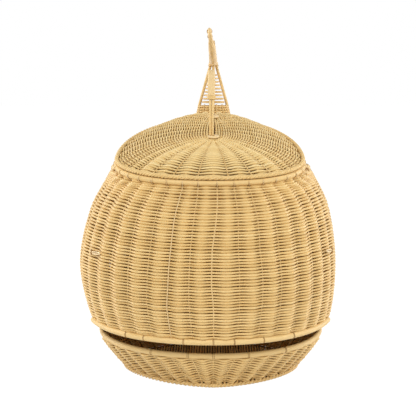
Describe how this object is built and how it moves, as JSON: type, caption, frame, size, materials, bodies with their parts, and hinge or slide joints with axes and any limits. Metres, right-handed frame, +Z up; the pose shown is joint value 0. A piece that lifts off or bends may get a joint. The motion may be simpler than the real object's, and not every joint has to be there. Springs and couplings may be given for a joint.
{
  "type": "lidded rattan basket",
  "caption": "Woven rattan storage basket in the shape of a whale, with an open mouth slit, raised tail flukes and a domed lift-off lid with an arched handle.",
  "frame": {"origin": "on the floor, in the middle plane, under the middle of the woven base", "axes": "+Z up, -Y towards the nose, +Y towards the tail, +X to the right seen from the front"},
  "size_m": [0.3395, 0.4714, 0.4549],
  "materials": {
    "woven_rattan": "matte",
    "rattan_cane": "satin",
    "wrapped_rattan": "satin",
    "dark_rattan": "matte"
  },
  "bodies": {
    "basket": {"base_panel": "woven_rattan", "foot_border": "rattan_cane", "jaw_wall": "woven_rattan", "jaw_rim_cane": "rattan_cane", "upper_lip_cane": "rattan_cane", "body_shell": "woven_rattan", "shoulder_shell": "woven_rattan", "tail_root_shell": "woven_rattan", "body_rim_cane": "rattan_cane", "eye_ring_left": "wrapped_rattan", "eye_ring_right": "wrapped_rattan", "eye_bar_left": "dark_rattan", "eye_bar_right": "dark_rattan", "tail_cane_front": "rattan_cane", "tail_cane_right": "rattan_cane", "tail_cane_rear": "rattan_cane", "tail_cane_left": "rattan_cane", "tail_slat_1": "rattan_cane", "tail_slat_2": "rattan_cane", "tail_slat_3": "rattan_cane", "tail_slat_4": "rattan_cane", "tail_slat_5": "rattan_cane", "tail_slat_6": "rattan_cane", "tail_slat_7": "rattan_cane", "tail_slat_8": "rattan_cane", "tail_slat_9": "rattan_cane", "tail_binding": "wrapped_rattan", "fluke_frame": "rattan_cane", "fluke_web": "woven_rattan", "fluke_side_cane_left": "rattan_cane", "fluke_side_cane_right": "rattan_cane"},
    "lid": {"lid_shell": "woven_rattan", "lid_border_cane": "rattan_cane", "lid_hub_front": "wrapped_rattan", "lid_hub_rear": "wrapped_rattan", "handle_cane_left": "rattan_cane", "handle_cane_right": "rattan_cane", "handle_grip": "wrapped_rattan", "handle_binding_front": "wrapped_rattan", "handle_binding_rear": "wrapped_rattan"}
  },
  "joints": [
    {"name": "lid_lift", "type": "slide", "parent": "basket", "child": "lid", "axis": [0, -0.2215, 0.9751], "range_m": [0, 0.08]}
  ]
}
